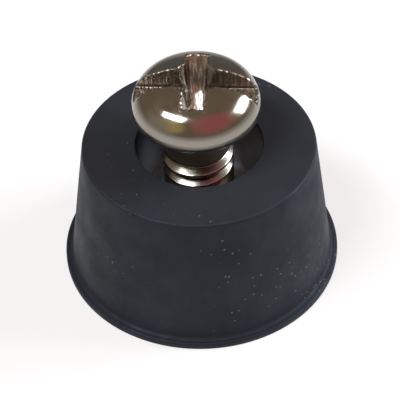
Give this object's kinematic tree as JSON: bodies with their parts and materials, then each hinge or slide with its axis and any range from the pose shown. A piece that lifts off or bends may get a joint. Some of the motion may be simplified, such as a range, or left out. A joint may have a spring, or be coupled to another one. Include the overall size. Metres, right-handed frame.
{
  "type": "rubber foot",
  "caption": "Tapered black rubber foot with a thin lip, a counterbored through hole and a pan-head fixing screw pushed part-way in.",
  "frame": {"origin": "centre of the wide mounting face, which is the lowest plane of the part as it stands", "axes": "+Z along the common axis of the foot and the screw, from the wide mounting face towards the small ground face and the screw head; +X and +Y are square to it, with the slot of the head 4.5 degrees from X"},
  "size_m": [0.016, 0.016, 0.0131],
  "materials": {
    "moulded_rubber": "matte",
    "nickel_plated_steel": "polished"
  },
  "bodies": {
    "root": {"rubber_foot": "moulded_rubber", "screw": "nickel_plated_steel"}
  },
  "joints": []
}
